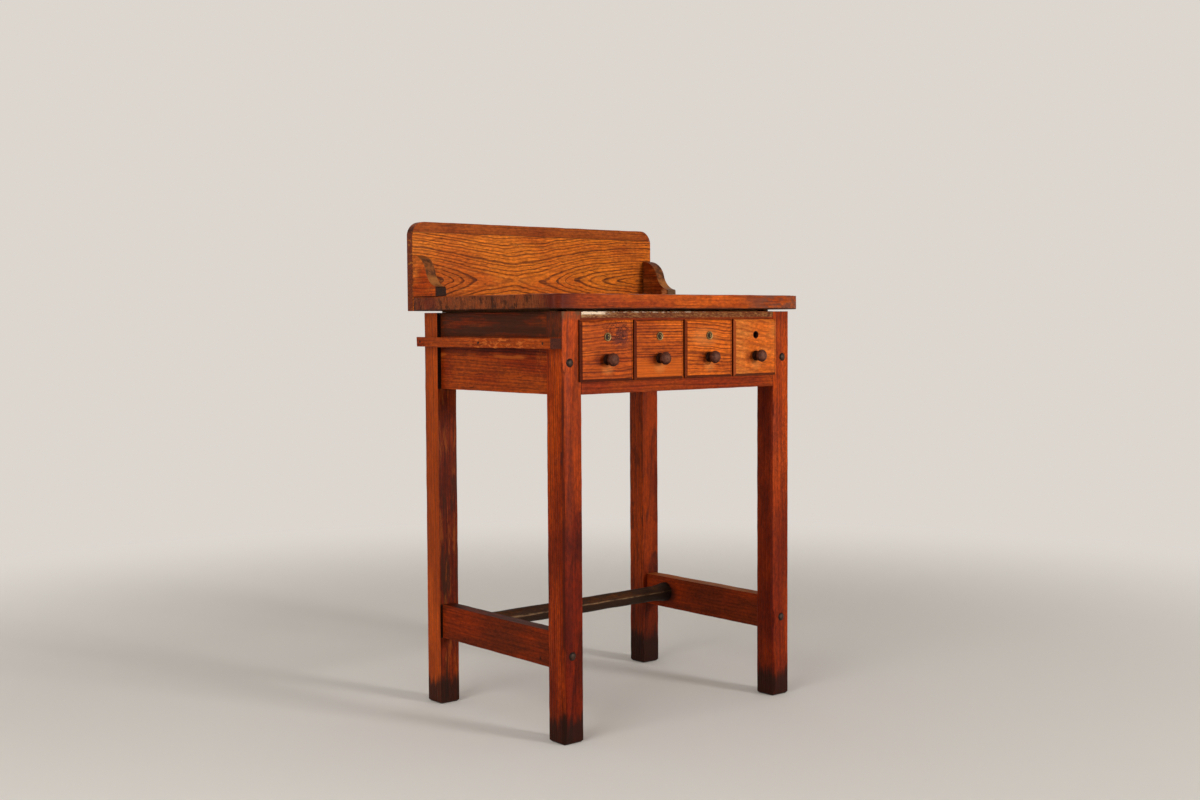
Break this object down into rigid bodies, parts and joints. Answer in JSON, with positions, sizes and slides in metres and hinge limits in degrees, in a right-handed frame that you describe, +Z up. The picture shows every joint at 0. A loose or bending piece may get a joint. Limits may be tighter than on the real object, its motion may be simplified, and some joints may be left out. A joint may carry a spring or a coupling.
{
  "type": "jewelers bench",
  "caption": "Old wooden jeweler's bench: thick top, lipped drawers with turned knobs and locks, high backboard on ogee brackets, side ledge and foot rail.",
  "frame": {"origin": "on the floor under the middle of the bench's outer box", "axes": "+Z up, the drawers open towards -Y, +X to the right of someone standing at the drawers"},
  "size_m": [0.706, 0.5428, 1.066],
  "materials": {
    "frame_wood": "old dark red-brown varnish, worn",
    "inner_wood": "bare aged softwood",
    "top_wood": "worn reddish brown, scratched",
    "backboard_wood": "orange varnish over strong cathedral grain",
    "bracket_wood": "dark red-brown varnish",
    "drawer_front_wood": "striped orange and dark brown grain, varnished",
    "drawer_box_wood": "bare aged wood",
    "knob_wood": "very dark stained turning, worn at the head",
    "foot_rail_wood": "dark, worn smooth by feet",
    "lock_brass": "tarnished",
    "bolt_steel": "dull, grimy",
    "screw_steel": "dull"
  },
  "bodies": {
    "bench": {"apron_left": "frame_wood", "apron_rear": "inner_wood", "apron_right": "frame_wood", "backboard": "backboard_wood", "backboard_screws": "screw_steel", "backboard_top_strip": "backboard_wood", "bracket_left": "bracket_wood", "bracket_right": "bracket_wood", "bracket_screws": "screw_steel", "drawer_dividers": "inner_wood", "drawer_guides": "inner_wood", "drawer_kickers": "inner_wood", "drawer_packing_strip": "inner_wood", "drawer_runners": "inner_wood", "foot_rail": "foot_rail_wood", "frame_bolts": "bolt_steel", "frame_nuts": "bolt_steel", "front_bottom_rail": "frame_wood", "front_top_rail": "frame_wood", "leg_front_left": "frame_wood", "leg_front_right": "frame_wood", "leg_rear_left": "frame_wood", "leg_rear_right": "frame_wood", "side_ledge": "frame_wood", "side_ledge_nails": "screw_steel", "stretcher_left": "frame_wood", "stretcher_right": "frame_wood", "top_board": "top_wood", "top_packing_strips": "inner_wood", "top_screws": "screw_steel"},
    "drawer_1": {"drawer_1_back": "drawer_box_wood", "drawer_1_bottom": "drawer_box_wood", "drawer_1_front": "drawer_front_wood", "drawer_1_knob": "knob_wood", "drawer_1_sides": "drawer_box_wood", "lock_1_case": "lock_brass"},
    "drawer_2": {"drawer_2_back": "drawer_box_wood", "drawer_2_bottom": "drawer_box_wood", "drawer_2_front": "drawer_front_wood", "drawer_2_knob": "knob_wood", "drawer_2_sides": "drawer_box_wood", "lock_2_case": "lock_brass"},
    "drawer_3": {"drawer_3_back": "drawer_box_wood", "drawer_3_bottom": "drawer_box_wood", "drawer_3_front": "drawer_front_wood", "drawer_3_knob": "knob_wood", "drawer_3_sides": "drawer_box_wood", "lock_3_case": "lock_brass"},
    "drawer_4": {"drawer_4_back": "drawer_box_wood", "drawer_4_bottom": "drawer_box_wood", "drawer_4_front": "drawer_front_wood", "drawer_4_knob": "knob_wood", "drawer_4_sides": "drawer_box_wood"},
    "lock_plug_1": {"lock_1_plug": "lock_brass"},
    "lock_plug_2": {"lock_2_plug": "lock_brass"},
    "lock_plug_3": {"lock_3_plug": "lock_brass"}
  },
  "joints": [
    {"name": "drawer_1_slide", "type": "slide", "parent": "bench", "child": "drawer_1", "axis": [0, -1, 0], "range_m": [0, 0.3]},
    {"name": "drawer_2_slide", "type": "slide", "parent": "bench", "child": "drawer_2", "axis": [0, -1, 0], "range_m": [0, 0.3]},
    {"name": "drawer_3_slide", "type": "slide", "parent": "bench", "child": "drawer_3", "axis": [0, -1, 0], "range_m": [0, 0.3]},
    {"name": "drawer_4_slide", "type": "slide", "parent": "bench", "child": "drawer_4", "axis": [0, -1, 0], "range_m": [0, 0.3]},
    {"name": "lock_1_turn", "type": "hinge", "parent": "drawer_1", "child": "lock_plug_1", "pos_m": [-0.21124, -0.24748, 0.8134], "axis": [0, -1, 0], "range_deg": [0, 90]},
    {"name": "lock_2_turn", "type": "hinge", "parent": "drawer_2", "child": "lock_plug_2", "pos_m": [-0.06898, -0.24748, 0.8134], "axis": [0, -1, 0], "range_deg": [0, 90]},
    {"name": "lock_3_turn", "type": "hinge", "parent": "drawer_3", "child": "lock_plug_3", "pos_m": [0.07413, -0.24748, 0.8134], "axis": [0, -1, 0], "range_deg": [0, 90]}
  ]
}
